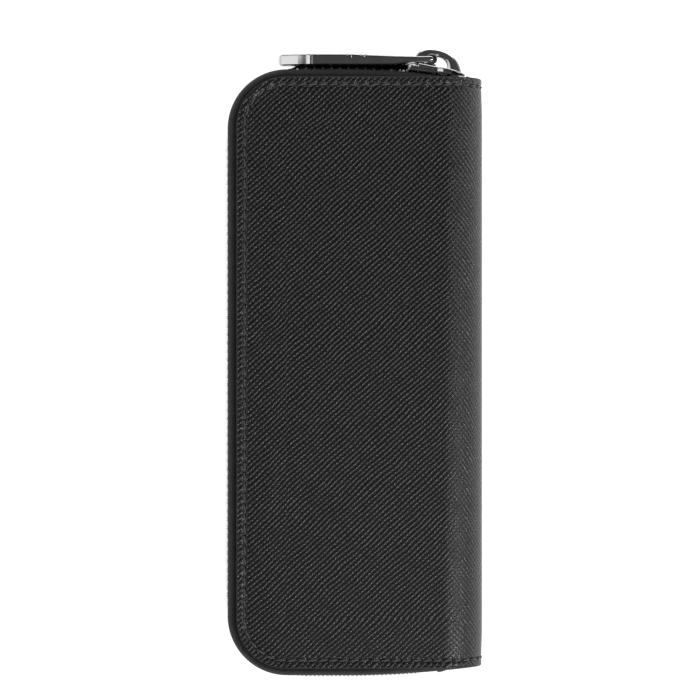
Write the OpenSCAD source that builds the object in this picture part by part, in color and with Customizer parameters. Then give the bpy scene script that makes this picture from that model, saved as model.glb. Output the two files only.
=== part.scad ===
// Zip-around case for two pens. It lies on its back cover: +Z is up through the thickness,
// +Y runs along the case towards the zip slider, +X points at the spine.
// The origin is the centre of the back cover's outer face.

/* [Body] */
// Length of the leather, along Y
body_len = 160; // [120:1:200]
// Width of the leather from the zip side to the outside of the spine, along X
body_w = 66; // [60:1:90]
// Thickness of the closed case, along Z
body_t = 22; // [20:0.5:27]
// Radius of the two cover corners on the zip side
corner_r = 13.5; // [8:0.5:20]
// Outer radius with which the leather turns round the spine
spine_r = 10; // [8:0.25:10]

/* [Layers] */
// Thickness of the outer leather
leather_t = 1.2; // [0.9:0.1:1.6]
// Thickness of the stiffening board, and of the zip tape sewn in beside it
board_t = 0.6; // [0.5:0.1:0.8]
// Thickness of the lining
lining_t = 0.6; // [0.4:0.1:0.8]
// Distance from the leather's edge to the board
board_inset = 6.5; // [6:0.5:10]
// Distance from the leather's edge to the lining
lining_inset = 1.0; // [0.8:0.1:2]

/* [Stitching] */
// Distance from the leather's edge to the stitch line
stitch_inset = 2.2; // [1.8:0.1:3.5]
// Distance from one stitch to the next
stitch_pitch = 2.8; // [2.2:0.1:4]
// Length of one visible stitch
stitch_len = 2.1; // [1.5:0.1:2.1]
// Thickness of the thread
thread_d = 0.5; // [0.3:0.05:0.7]
// Depth of the groove that the stitches lie in
groove_depth = 0.4; // [0.3:0.05:0.6]
// Width of that groove
groove_w = 0.9; // [0.8:0.1:1.2]

/* [Zip] */
// How far the middle of the zip chain stands out past the leather's edge
chain_bulge = 2.3; // [1.5:0.1:3]
// Distance from one tooth to the next on the same tape
tooth_pitch = 2.3; // [2.3:0.1:3]
// Width of a tooth, along the chain
tooth_w = 0.95; // [0.8:0.05:0.95]
// Thickness of a tooth, square to the tape
tooth_t = 2.3; // [2:0.1:2.5]
// Height of a tooth, across the chain
tooth_h = 3.8; // [3.6:0.1:4]
// How far a tooth reaches past the case's middle plane
tooth_reach = 1.0; // [0.8:0.1:1]
// Half the gap between the edges of the two tapes
tape_gap = 1.25; // [1.25:0.05:1.5]
// How far the tape runs in under the leather
tape_seam = 5.5; // [4:0.5:6]
// Where the top run of the chain starts to dive in towards the spine, along X
dive_x = -4; // [-8:1:0]
// Radius of that dive at the slider's end of the case
dive_r_top = 205; // [190:5:240]
// Radius of the same dive at the other end
dive_r_bottom = 280; // [220:10:400]

/* [Slider] */
// Distance from the outside of the spine to the middle of the parked slider
slider_from_spine = 12; // [11:0.5:14]
// Length of the slider
slider_len = 16; // [14:0.5:18]
// Width of the slider at its shoulders
slider_w = 11; // [10.5:0.1:12]
// Width of the slider at its tail
slider_tail_w = 8.8; // [8.6:0.1:10]
// Height of the channel above the chain's middle
channel_out = 1.4; // [1.3:0.1:1.8]
// Depth of the channel below the chain's middle
channel_in = 1.9; // [1.9:0.1:2.2]
// Thickness of the slider's two plates
plate_t = 0.9; // [0.8:0.1:1.2]
// Thickness of the bridge that holds the puller
bridge_t = 1.8; // [1.4:0.1:2.2]

/* [Puller] */
// Length of the puller, from its cross bar's axis to its free end
puller_len = 41.5; // [30:0.5:50]
// Width of the puller, along Z
puller_w = 8; // [6:0.5:9]
// Thickness of the puller
puller_t = 3.1; // [2.4:0.1:3.4]
// Radius of the puller's cross bar
bar_r = 0.95; // [0.7:0.05:1.1]
// Gap on each side between the bridge and the puller's two arms
bridge_gap = 0.3; // [0.2:0.05:0.5]

/* [Pen sleeves] */
// Inside width of a sleeve
pen_d = 14.5; // [10:0.5:14.5]
// Thickness of a sleeve's leather
sleeve_t = 0.7; // [0.5:0.1:1]
// Length of a sleeve
sleeve_len = 118; // [80:1:130]
// Width of the leather that is sewn down beside a sleeve
sleeve_hem = 2; // [1.5:0.25:3]
// Thickness of the panel that the sleeves are sewn to
panel_t = 0.8; // [0.6:0.1:1.2]
// Gap between the panel's end and the inside of the case's bottom end
panel_end_gap = 7; // [5:1:12]

/* [Hidden] */
$fn = 96;

leather_colour = [0.12, 0.12, 0.12];
board_colour = [0.5, 0.48, 0.44];
lining_colour = [0.16, 0.16, 0.17];
thread_colour = [0.3, 0.3, 0.3];
tape_colour = [0.08, 0.08, 0.09];
metal_colour = [0.78, 0.79, 0.8];

half_len = body_len / 2;
zip_x = -body_w / 2;
flat_x = body_w / 2 - spine_r;
mid_z = body_t / 2;
wall_t = leather_t + board_t + lining_t;
// Straight part of the spine, between its two quarter turns
spine_flat = body_t - 2 * spine_r;
// Gap where the rigid spine part meets the covers, in degrees round the turn
turn_gap = 2;
turn_split = 45;
eps = 0.01;

// The tape's wall is a quarter ellipse that leaves the seam flat and stands upright at its edge
tape_edge_z = mid_z - tape_gap;
tape_root_x = -0.5;
tape_out_a = chain_bulge + board_t / 2 - tape_root_x;
tape_out_b = tape_edge_z - leather_t;
tape_in_a = tape_out_a - board_t;
tape_in_b = tape_out_b - board_t;
tape_end_x = body_w / 2 - 2.4;

corner_x = zip_x + corner_r;
corner_y = half_len - corner_r;
chain_corner_r = corner_r + chain_bulge;

slider_x = body_w / 2 - slider_from_spine;
slider_tilt = asin((slider_x - dive_x) / dive_r_top);
slider_y = half_len + chain_bulge - dive_r_top * (1 - cos(slider_tilt));
// The teeth stop at the middle of the parked slider, where the two halves part round its post
teeth_top_x = slider_x + 1.5;
teeth_bottom_x = slider_x - 1;
stop_w = 0.9;

// ---- Places along the chain ----

run_dive_top = dive_r_top * asin((teeth_top_x - dive_x) / dive_r_top) * PI / 180;
run_level = dive_x - corner_x;
run_corner = chain_corner_r * PI / 2;
run_side = 2 * corner_y;
run_dive_bottom = dive_r_bottom * asin((teeth_bottom_x - dive_x) / dive_r_bottom) * PI / 180;
run_a = run_dive_top;
run_b = run_a + run_level;
run_c = run_b + run_corner;
run_d = run_c + run_side;
run_e = run_d + run_corner;
run_f = run_e + run_level;
run_g = run_f + run_dive_bottom;

// A place on an arc: its centre, its radius and the angle of its outward direction
function on_arc(cx, cy, r, angle) = [cx + r * cos(angle), cy + r * sin(angle), angle];

// Place of the chain's middle at distance s from its top end, and its outward direction
function chain_place(s) =
    s < run_a ? on_arc(dive_x, half_len + chain_bulge - dive_r_top, dive_r_top,
                       90 - (run_a - s) / dive_r_top * 180 / PI)
    : s < run_b ? [dive_x - (s - run_a), half_len + chain_bulge, 90]
    : s < run_c ? on_arc(corner_x, corner_y, chain_corner_r, 90 + (s - run_b) / run_corner * 90)
    : s < run_d ? [zip_x - chain_bulge, corner_y - (s - run_c), 180]
    : s < run_e ? on_arc(corner_x, -corner_y, chain_corner_r, 180 + (s - run_d) / run_corner * 90)
    : s < run_f ? [corner_x + (s - run_e), -half_len - chain_bulge, 270]
    : on_arc(dive_x, -half_len - chain_bulge + dive_r_bottom, dive_r_bottom,
             270 + (s - run_f) / dive_r_bottom * 180 / PI);

// Stands a profile drawn in (outward, Z) at a place, w thick along the chain
module at_place(place, w) {
    translate([place[0], place[1], 0])
        rotate([0, 0, place[2]])
            rotate([90, 0, 0])
                linear_extrude(w, center = true)
                    children();
}

// ---- Helpers ----

// Turns what is built for the back half into the front half
module on_front() {
    translate([0, 0, body_t])
        mirror([0, 0, 1])
            children();
}

// Flat outline of a cover, drawn in from the leather's edge
module cover_plate(inset, x_end, t) {
    r = corner_r - inset;
    left = zip_x + inset;
    top = half_len - inset;
    translate([left + r, -top, 0])
        cube([x_end - left - r, 2 * top, t]);
    translate([left, -top + r, 0])
        cube([r, 2 * (top - r), t]);
    for (side = [-1, 1])
        translate([left + r, side * (top - r), 0])
            cylinder(r = r, h = t);
}

// Part of a ring between two angles, drawn in (X, Z)
module ring_part(r_in, r_out, a0, a1) {
    reach = 2 * r_out;
    mid = (a0 + a1) / 2;
    intersection() {
        difference() {
            circle(r = r_out);
            circle(r = r_in);
        }
        polygon([[0, 0], [reach * cos(a0), reach * sin(a0)],
                 [reach * cos(mid), reach * sin(mid)], [reach * cos(a1), reach * sin(a1)]]);
    }
}

// Stretches a profile drawn in (X, Z) along Y
module along_y(len) {
    rotate([90, 0, 0])
        linear_extrude(len, center = true)
            children();
}

// The lip with which a cover starts to turn round the spine
module spine_lip() {
    translate([flat_x, 0, spine_r])
        along_y(body_len)
            ring_part(spine_r - leather_t, spine_r, -90, -turn_split);
}

// A band of the rigid spine part, drawn in (X, Z), from depth d0 to depth d1 below the leather's face
module spine_band(d0, d1) {
    r_in = spine_r - d1;
    r_out = spine_r - d0;
    translate([flat_x, spine_r])
        ring_part(r_in, r_out, -turn_split + turn_gap, 0);
    translate([flat_x + r_in, spine_r - eps])
        square([d1 - d0, spine_flat + 2 * eps]);
    translate([flat_x, body_t - spine_r])
        ring_part(r_in, r_out, 0, turn_split - turn_gap);
}

// ---- Covers ----

// The groove that the stitches of a cover lie in
module stitch_groove() {
    in_edge = stitch_inset - groove_w / 2;
    out_edge = stitch_inset + groove_w / 2;
    difference() {
        translate([0, 0, -eps])
            cover_plate(in_edge, flat_x + 2 * eps, groove_depth + eps);
        translate([0, 0, -2 * eps])
            cover_plate(out_edge, flat_x + 1, groove_depth + 4 * eps);
    }
}

module cover_leather() {
    difference() {
        union() {
            cover_plate(0, flat_x, leather_t);
            spine_lip();
        }
        stitch_groove();
    }
}

// Everything at least this far inside the zip where it sinks in towards the spine
module inside_dive(inset, r) {
    translate([-body_w, -body_len, -1])
        cube([body_w + dive_x, 2 * body_len, body_t]);
    translate([dive_x, half_len + chain_bulge - r, -1])
        cylinder(r = r - chain_bulge - inset, h = body_t, $fn = 720);
}

// A layer inside a cover, cut back wherever the zip sinks in
module inner_layer(inset, x_end, z, t) {
    intersection() {
        translate([0, 0, z])
            cover_plate(inset, x_end, t);
        inside_dive(inset, dive_r_top);
        mirror([0, 1, 0])
            inside_dive(inset, dive_r_bottom);
    }
}

module cover_board() {
    inner_layer(board_inset, flat_x - 1, leather_t, board_t);
}

module cover_lining() {
    inner_layer(lining_inset, flat_x + 1, leather_t + board_t, lining_t);
}

// Stitches lie in the groove along the top, the zip side and the bottom of a cover
module cover_stitches() {
    r = corner_r - stitch_inset;
    level = flat_x - corner_x;
    corner = r * PI / 2;
    total = 2 * level + 2 * corner + run_side;
    count = floor(total / stitch_pitch);
    for (i = [0 : count - 1]) {
        s = (i + 0.5) * total / count;
        place = s < level ? [flat_x - s, corner_y + r, 90]
            : s < level + corner ? on_arc(corner_x, corner_y, r, 90 + (s - level) / corner * 90)
            : s < level + corner + run_side ? [zip_x + stitch_inset, corner_y - (s - level - corner), 180]
            : s < total - level ? on_arc(corner_x, -corner_y, r, 270 - (total - level - s) / corner * 90)
            : [flat_x - (total - s), -corner_y - r, 270];
        translate([place[0], place[1], groove_depth - thread_d / 2 + 0.15])
            rotate([0, 0, place[2]])
                stitch();
    }
}

// One stitch, lying along Y, with its lower side let into the bottom of the groove
module stitch() {
    translate([-thread_d / 2, -stitch_len / 2, -thread_d / 2 + 0.05])
        cube([thread_d, stitch_len, thread_d / 2 + 0.05]);
}

// ---- Zip ----

function tape_arc(a, b, t0, t1, steps) =
    [for (i = [0 : steps])
        let (t = t0 + (t1 - t0) * i / steps)
        [tape_root_x + a * cos(t), tape_edge_z - b * sin(t)]];

// Section of one tape in (outward from the leather's edge, Z)
module tape_section() {
    outer = tape_arc(tape_out_a, tape_out_b, 0, 90, 10);
    inner = tape_arc(tape_in_a, tape_in_b, 90, 0, 10);
    polygon(concat(outer, [[-tape_seam, leather_t], [-tape_seam, leather_t + board_t]], inner));
}

// The space outside the leather's inner face where it turns round the spine
module outside_turn() {
    difference() {
        translate([flat_x, -body_len, -1])
            cube([spine_r + 1, 2 * body_len, spine_r]);
        translate([flat_x, 0, spine_r])
            rotate([90, 0, 0])
                cylinder(r = spine_r - leather_t - 0.05, h = 3 * body_len, center = true);
    }
}

// One end of the tape, sinking in towards the spine on a long arc
module tape_dive(r) {
    end_angle = asin((tape_end_x - dive_x) / r);
    translate([dive_x, half_len + chain_bulge - r, 0])
        rotate([0, 0, 90])
            mirror([0, 1, 0])
                rotate_extrude(angle = end_angle, $fn = 720)
                    translate([r - chain_bulge, 0])
                        tape_section();
}

module zip_tape() {
    difference() {
        union() {
            // zip side
            translate([zip_x, 0, 0])
                mirror([1, 0, 0])
                    along_y(2 * corner_y)
                        tape_section();
            // corners
            translate([corner_x, corner_y, 0])
                rotate([0, 0, 90])
                    rotate_extrude(angle = 90)
                        translate([corner_r, 0])
                            tape_section();
            translate([corner_x, -corner_y, 0])
                rotate([0, 0, 180])
                    rotate_extrude(angle = 90)
                        translate([corner_r, 0])
                            tape_section();
            // level runs
            translate([corner_x, half_len, 0])
                rotate([90, 0, 90])
                    linear_extrude(run_level)
                        tape_section();
            mirror([0, 1, 0])
                translate([corner_x, half_len, 0])
                    rotate([90, 0, 90])
                        linear_extrude(run_level)
                            tape_section();
            tape_dive(dive_r_top);
            mirror([0, 1, 0])
                tape_dive(dive_r_bottom);
        }
        outside_turn();
    }
}

// Section of one tooth in (outward from the chain's middle, Z): two legs grip the tape, the head meshes
module tooth_section() {
    half_t = tooth_t / 2;
    top = mid_z + tooth_reach;
    foot = top - tooth_h;
    slot_out = board_t / 2 + 0.01;
    slot_in = board_t / 2 + 0.06;
    polygon([[-0.75 * half_t, foot], [-slot_in, foot], [-slot_in, tape_edge_z], [slot_out, tape_edge_z],
             [slot_out, foot], [0.75 * half_t, foot], [half_t, tape_edge_z - 0.2], [half_t, top - 0.8],
             [0.65 * half_t, top], [-0.65 * half_t, top], [-half_t, top - 0.8], [-half_t, tape_edge_z - 0.2]]);
}

// A row of teeth, started a share of the pitch along the chain
module tooth_row(shift) {
    count = floor(run_g / tooth_pitch) - 1;
    for (i = [0 : count - 1])
        at_place(chain_place((i + shift) * tooth_pitch), tooth_w)
            tooth_section();
}

// A clip on the end of one tape, past the parked slider
module top_stop() {
    angle = 90 - asin((tape_end_x - stop_w - dive_x) / dive_r_top);
    half_t = tooth_t / 2;
    slot_out = board_t / 2 + 0.01;
    slot_in = board_t / 2 + 0.06;
    foot = tape_edge_z - 1.4;
    top = mid_z - 0.4;
    at_place(on_arc(dive_x, half_len + chain_bulge - dive_r_top, dive_r_top, angle), stop_w)
        polygon([[-half_t, foot], [-slot_in, foot], [-slot_in, tape_edge_z], [slot_out, tape_edge_z],
                 [slot_out, foot], [half_t, foot], [half_t, top], [-half_t, top]]);
}

// A clip at the chain's lower end: two plates that pass both tapes, joined between the tapes' edges
module chain_bottom_stop() {
    angle = 270 + asin((teeth_bottom_x + 2.6 - dive_x) / dive_r_bottom);
    half_t = tooth_t / 2;
    clear_out = board_t / 2 + 0.1;
    clear_in = board_t / 2 + 0.15;
    at_place(on_arc(dive_x, -half_len - chain_bulge + dive_r_bottom, dive_r_bottom, angle), 2.4) {
        translate([-half_t, mid_z - 2.4])
            square([half_t - clear_in, 4.8]);
        translate([clear_out, mid_z - 2.4])
            square([half_t - clear_out, 4.8]);
        translate([-half_t, mid_z - 1])
            square([tooth_t, 2]);
    }
}

// ---- Slider ----

// Puts the slider's own frame in place: X along the chain to the nose, Z outward, Y across
module in_slider_frame() {
    translate([slider_x, slider_y, mid_z])
        rotate([0, 0, -slider_tilt])
            rotate([-90, 0, 0])
                children();
}

// Outline of the slider's plates, seen from outside the case
module slider_outline(edge) {
    nose = slider_len / 2;
    tail_half = slider_tail_w / 2 - edge;
    shoulder_half = slider_w / 2 - edge;
    polygon([[-nose, -tail_half + 0.8], [-nose + 0.8, -tail_half], [-2, -tail_half], [3, -shoulder_half],
             [nose - 2.5, -shoulder_half], [nose, -shoulder_half + 2.5], [nose, shoulder_half - 2.5],
             [nose - 2.5, shoulder_half], [3, shoulder_half], [-2, tail_half], [-nose + 0.8, tail_half],
             [-nose, tail_half - 0.8]]);
}

// Side view of the slider's outer plate, in (along the chain, outward)
module outer_plate_side() {
    nose = slider_len / 2;
    top = channel_out + plate_t;
    polygon([[-nose, channel_out], [-nose, top - 0.3], [-nose + 0.4, top], [nose - 4, top],
             [nose - 2, top - 0.25], [nose, channel_out + 0.15], [nose, channel_out - 0.15],
             [nose - 3, channel_out]]);
}

// Side view of the inner plate, which flares away from the chain at the nose
module inner_plate_side() {
    nose = slider_len / 2;
    low = -channel_in - plate_t;
    polygon([[-nose, -channel_in], [nose - 4, -channel_in], [nose, -channel_in - 0.5], [nose, low - 0.3],
             [nose - 4, low], [-nose + 0.4, low], [-nose, low + 0.3]]);
}

module plate_from_side(half_w) {
    rotate([90, 0, 0])
        linear_extrude(2 * half_w, center = true)
            children();
}

module slider_shell() {
    flange_t = 1.1;
    flange_out = 1.05;
    flange_in = 1.65;
    post_half = tape_gap - 0.15;
    nose = slider_len / 2;
    intersection() {
        translate([0, 0, -channel_in - plate_t - 1])
            linear_extrude(channel_in + channel_out + 2 * plate_t + 2)
                slider_outline(0);
        union() {
            plate_from_side(slider_w)
                outer_plate_side();
            plate_from_side(slider_w)
                inner_plate_side();
        }
    }
    // flanges that hold the chain between the plates
    intersection() {
        translate([-5, -slider_w, -channel_in - eps])
            cube([9, 2 * slider_w, channel_in + channel_out + 2 * eps]);
        difference() {
            translate([0, 0, -channel_in - eps])
                linear_extrude(channel_in + channel_out + 2 * eps)
                    slider_outline(0);
            translate([0, 0, -channel_in - 1])
                linear_extrude(channel_in + channel_out + 2)
                    slider_outline(flange_t);
            translate([-nose, -slider_w, -flange_in])
                cube([slider_len, 2 * slider_w, flange_in + flange_out]);
        }
    }
    // post that parts the two halves of the chain
    translate([0, 0, -channel_in - eps])
        linear_extrude(channel_in + channel_out + 2 * eps)
            polygon([[3.2, 0], [4.4, post_half], [6.4, post_half], [6.4, -post_half], [4.4, -post_half]]);
}

// The bridge's outline: a leaning half ellipse, in (along the chain, outward)
function leaning_arch(cx, a, h, lean, steps) =
    [for (i = [0 : steps])
        let (t = 180 * i / steps)
        [cx + a * cos(t) - lean * h * sin(t), bridge_foot + h * sin(t)]];

bridge_foot = channel_out + plate_t;
bridge_lean = 0.33;
bridge_out_x = 0.5;
bridge_out_a = 6.3;
bridge_out_h = 5.3;
bridge_in_x = -0.85;
bridge_in_a = 3.8;
bridge_in_h = 3.5;

module bridge_side() {
    outer = leaning_arch(bridge_out_x, bridge_out_a, bridge_out_h, bridge_lean, 24);
    inner = leaning_arch(bridge_in_x, bridge_in_a, bridge_in_h, bridge_lean, 20);
    inner_back = [for (i = [len(inner) - 1 : -1 : 0]) inner[i]];
    foot_x0 = bridge_in_x + bridge_in_a;
    foot_x1 = bridge_out_x + bridge_out_a;
    polygon(concat(outer, inner_back));
    // the front foot reaches down to where the slider's outer plate falls away at its nose
    difference() {
        translate([foot_x0, channel_out + 0.05])
            square([foot_x1 - foot_x0, plate_t]);
        outer_plate_side();
    }
}

// ---- Puller ----

// Axis of the cross bar, in the slider's frame and then in the case's frame
bar_along = -1.9;
bar_out = bridge_foot + 2.35;
bar_x = slider_x + bar_along * cos(slider_tilt) + bar_out * sin(slider_tilt);
bar_y = slider_y - bar_along * sin(slider_tilt) + bar_out * cos(slider_tilt);
eye_r = 1.4;
arm_slot_len = 7.8;
arm_t = 1.3;
// The puller lies along the case, just clear of the teeth
puller_low_y = half_len + chain_bulge + tooth_t / 2 + 0.3;

// Side view of the puller, in (X, Y)
module puller_side() {
    high_y = puller_low_y + puller_t;
    tip_x = bar_x - puller_len;
    thin_x = bar_x - arm_slot_len;
    polygon([[tip_x, high_y - 1.1], [tip_x + 0.5, high_y - 0.3], [tip_x + 1.6, high_y],
             [bar_x - 3, high_y - 0.15], [bar_x, bar_y + eye_r], [bar_x, bar_y + eye_r - arm_t],
             [thin_x + 3, high_y - 0.15 - arm_t], [thin_x - 1, high_y - 0.9 - arm_t],
             [thin_x - 3.5, puller_low_y], [tip_x + 1, puller_low_y], [tip_x, puller_low_y + 0.6]]);
}

module puller_solid() {
    slot_w = bridge_t + 2 * bridge_gap;
    difference() {
        union() {
            translate([0, 0, mid_z - puller_w / 2])
                linear_extrude(puller_w)
                    puller_side();
            translate([bar_x, bar_y, mid_z - puller_w / 2])
                cylinder(r = eye_r, h = puller_w);
        }
        translate([bar_x - arm_slot_len, bar_y - 5, mid_z - slot_w / 2])
            cube([arm_slot_len + 5, 10, slot_w]);
    }
    translate([bar_x, bar_y, mid_z - puller_w / 2 + 0.5])
        cylinder(r = bar_r, h = puller_w - 1);
}

// ---- Pen sleeves ----

sleeve_x0 = (zip_x + flat_x) / 2;
sleeve_half = pen_d / 2 + sleeve_t;
sleeve_step = sleeve_half + sleeve_hem / 2;
panel_z = wall_t;
sleeve_z = panel_z + panel_t;
panel_y0 = -half_len + panel_end_gap;
sleeve_y0 = panel_y0 + 2;
panel_len = 2 * half_len - 2 * panel_end_gap;
panel_half_w = sleeve_step + sleeve_half + sleeve_hem + 1;

// A sleeve's section in (X, Z) above the panel: an arch with a hem on its outer side
module sleeve_section(hem_side) {
    difference() {
        union() {
            translate([0, pen_d / 2])
                circle(r = sleeve_half);
            translate([-sleeve_half, 0])
                square([2 * sleeve_half, pen_d / 2]);
        }
        translate([0, pen_d / 2])
            circle(r = pen_d / 2);
        translate([-pen_d / 2, -1])
            square([pen_d, pen_d / 2 + 1]);
        translate([-2 * pen_d, -4 * pen_d])
            square([4 * pen_d, 4 * pen_d]);
    }
    translate([hem_side > 0 ? sleeve_half - eps : -sleeve_half - sleeve_hem + eps, 0])
        square([sleeve_hem, sleeve_t]);
}

module sleeve(side) {
    translate([sleeve_x0 + side * sleeve_step, 0, sleeve_z]) {
        translate([0, sleeve_y0 + sleeve_len / 2, 0])
            along_y(sleeve_len)
                sleeve_section(side);
        // sewn-up lower end
        translate([-pen_d / 2 - eps, sleeve_y0, 0])
            cube([pen_d + 2 * eps, sleeve_t, pen_d / 2 + eps]);
        translate([0, sleeve_y0, pen_d / 2])
            rotate([-90, 0, 0])
                cylinder(r = pen_d / 2 + eps, h = sleeve_t);
    }
}

binding_w = 3.2;
binding_t = 0.45;

// A strip that binds the mouths of both sleeves
module mouth_binding() {
    y1 = sleeve_y0 + sleeve_len;
    for (side = [-1, 1])
        translate([sleeve_x0 + side * sleeve_step, y1 - binding_w / 2, sleeve_z + pen_d / 2])
            along_y(binding_w)
                ring_part(sleeve_half + 0.01, sleeve_half + binding_t, 8, 172);
}

// Stitches along the sleeves' outer hems
module hem_stitches() {
    count = floor((sleeve_len - 4) / stitch_pitch);
    x = sleeve_step + sleeve_half + sleeve_hem / 2;
    for (side = [-1, 1])
        for (i = [0 : count - 1])
            translate([sleeve_x0 + side * x - thread_d / 2, sleeve_y0 + 2 + i * stitch_pitch,
                       sleeve_z + sleeve_t])
                cube([thread_d, stitch_len, thread_d / 2]);
}

// ---- Spine ----

stiffener_t = 0.5;

// Stitches that carry the cover's stitch line round both ends of the spine
module spine_stitches() {
    count = 3;
    step = (turn_split - turn_gap - 4) / count;
    floor_r = spine_r - groove_depth;
    for (end = [-1, 1])
        for (half = [-1, 1])
            for (i = [0 : count - 1])
                translate([flat_x, end * (half_len - stitch_inset), half > 0 ? body_t - spine_r : spine_r])
                    rotate([0, -half * (4 + (i + 0.5) * step), 0])
                        translate([floor_r + eps, -thread_d / 2, -stitch_len / 2])
                            cube([thread_d / 2 + 0.05, thread_d, stitch_len]);
}

// The groove for those stitches
module spine_groove() {
    for (end = [-1, 1])
        translate([0, end * (half_len - stitch_inset), 0])
            along_y(groove_w)
                spine_band(-1, groove_depth);
}

// ---- Pieces ----

module back_leather() {
    color(leather_colour)
        cover_leather();
}

module back_board() {
    color(board_colour)
        cover_board();
}

module back_lining() {
    color(lining_colour)
        cover_lining();
}

module back_stitching() {
    color(thread_colour)
        cover_stitches();
}

module back_zip_tape() {
    color(tape_colour)
        zip_tape();
}

module back_teeth() {
    color(metal_colour)
        tooth_row(0.5);
}

module back_top_stop() {
    color(metal_colour)
        top_stop();
}

module bottom_stop() {
    color(metal_colour)
        chain_bottom_stop();
}

module pen_panel() {
    color(leather_colour)
        translate([sleeve_x0 - panel_half_w, panel_y0, panel_z])
            cube([2 * panel_half_w, panel_len, panel_t]);
}

module left_pen_sleeve() {
    color(leather_colour)
        sleeve(-1);
}

module right_pen_sleeve() {
    color(leather_colour)
        sleeve(1);
}

module sleeve_binding() {
    color(leather_colour)
        mouth_binding();
}

module sleeve_stitching() {
    color(thread_colour)
        hem_stitches();
}

module spine_leather() {
    color(leather_colour)
        difference() {
            along_y(body_len)
                spine_band(0, leather_t);
            spine_groove();
        }
}

module spine_stiffener() {
    color(board_colour)
        along_y(body_len - 2 * board_inset)
            spine_band(leather_t, leather_t + stiffener_t);
}

module spine_lining() {
    color(lining_colour)
        along_y(body_len - 2 * board_inset + 4)
            spine_band(leather_t + stiffener_t, leather_t + stiffener_t + lining_t);
}

module spine_stitching() {
    color(thread_colour)
        spine_stitches();
}

module front_leather() {
    color(leather_colour)
        on_front()
            cover_leather();
}

module front_board() {
    color(board_colour)
        on_front()
            cover_board();
}

module front_lining() {
    color(lining_colour)
        on_front()
            cover_lining();
}

module front_stitching() {
    color(thread_colour)
        on_front()
            cover_stitches();
}

module front_zip_tape() {
    color(tape_colour)
        on_front()
            zip_tape();
}

module front_teeth() {
    color(metal_colour)
        on_front()
            tooth_row(1);
}

module front_top_stop() {
    color(metal_colour)
        on_front()
            top_stop();
}

module slider_body() {
    color(metal_colour)
        in_slider_frame()
            slider_shell();
}

module slider_bridge() {
    color(metal_colour)
        in_slider_frame()
            plate_from_side(bridge_t / 2)
                bridge_side();
}

module puller() {
    color(metal_colour)
        puller_solid();
}

back_leather();
back_board();
back_lining();
back_stitching();
back_zip_tape();
back_teeth();
back_top_stop();
bottom_stop();
pen_panel();
left_pen_sleeve();
right_pen_sleeve();
sleeve_binding();
sleeve_stitching();
spine_leather();
spine_stiffener();
spine_lining();
spine_stitching();
front_leather();
front_board();
front_lining();
front_stitching();
front_zip_tape();
front_teeth();
front_top_stop();
slider_body();
slider_bridge();
puller();
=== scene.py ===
"""Zip-around leather case for two pens: the looks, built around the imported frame.

Lengths are in millimetres until a mesh is made."""
import math
from functools import cached_property

import bmesh
import bpy
import numpy as np
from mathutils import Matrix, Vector


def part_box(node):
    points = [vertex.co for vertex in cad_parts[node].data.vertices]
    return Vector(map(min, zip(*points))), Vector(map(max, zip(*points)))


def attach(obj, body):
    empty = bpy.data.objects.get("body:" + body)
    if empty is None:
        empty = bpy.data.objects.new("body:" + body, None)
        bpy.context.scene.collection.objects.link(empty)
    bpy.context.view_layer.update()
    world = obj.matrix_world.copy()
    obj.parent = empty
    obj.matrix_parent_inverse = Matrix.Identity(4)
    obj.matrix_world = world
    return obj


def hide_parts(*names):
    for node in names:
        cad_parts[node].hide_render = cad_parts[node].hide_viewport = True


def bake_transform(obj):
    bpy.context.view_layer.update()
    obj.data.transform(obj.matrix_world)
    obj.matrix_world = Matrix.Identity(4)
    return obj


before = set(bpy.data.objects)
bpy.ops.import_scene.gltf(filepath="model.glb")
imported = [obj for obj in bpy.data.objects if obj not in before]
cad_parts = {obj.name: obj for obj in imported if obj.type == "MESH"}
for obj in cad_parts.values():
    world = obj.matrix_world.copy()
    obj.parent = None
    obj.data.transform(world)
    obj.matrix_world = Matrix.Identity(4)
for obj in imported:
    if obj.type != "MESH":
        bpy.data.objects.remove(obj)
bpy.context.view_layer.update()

MM = 0.001

# ---- Sizes, from the frame ----


def box_mm(node):
    """Lowest and highest corner of a CAD node, in millimetres."""
    low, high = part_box(node)
    return Vector(low) / MM, Vector(high) / MM


back_low, back_high = box_mm("back_leather")
spine_high = box_mm("spine_leather")[1]
thick = box_mm("front_leather")[1].z
zip_x = back_low.x
half_len = back_high.y
spine_x = spine_high.x
mid_z = thick / 2
leather_t = box_mm("back_board")[0].z
board_t = box_mm("back_board")[1].z - leather_t
wall_t = box_mm("pen_panel")[0].z
# the CAD's own turns and pitches, which its boxes don't show
spine_r = 10.0
flat_x = spine_x - spine_r
corner_r = 13.5
stitch_inset = 2.2
stitch_pitch = 2.8
chain_bulge = 2.3
# each end of the zip sinks in on an arc, from dive_x to dive_end_x
dive_x = -4.0
dive_end_x = 29.0
dive_r_top = 205.0
dive_r_bottom = 280.0
tape_gap = 1.25
tape_edge_z = mid_z - tape_gap
tape_root = -0.5
tooth_pitch = 2.3
tooth_count = 113

# The hide's developed width, from the zip edge to the middle of the spine
flat_u = flat_x - zip_x
turn_len = spine_r * math.pi / 2
u_end = flat_u + turn_len + mid_z - spine_r
spine_bow = 0.8


# ---- Mesh helpers ----


def smoothstep(x):
    x = np.clip(x, 0, 1)
    return x * x * (3 - 2 * x)


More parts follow.
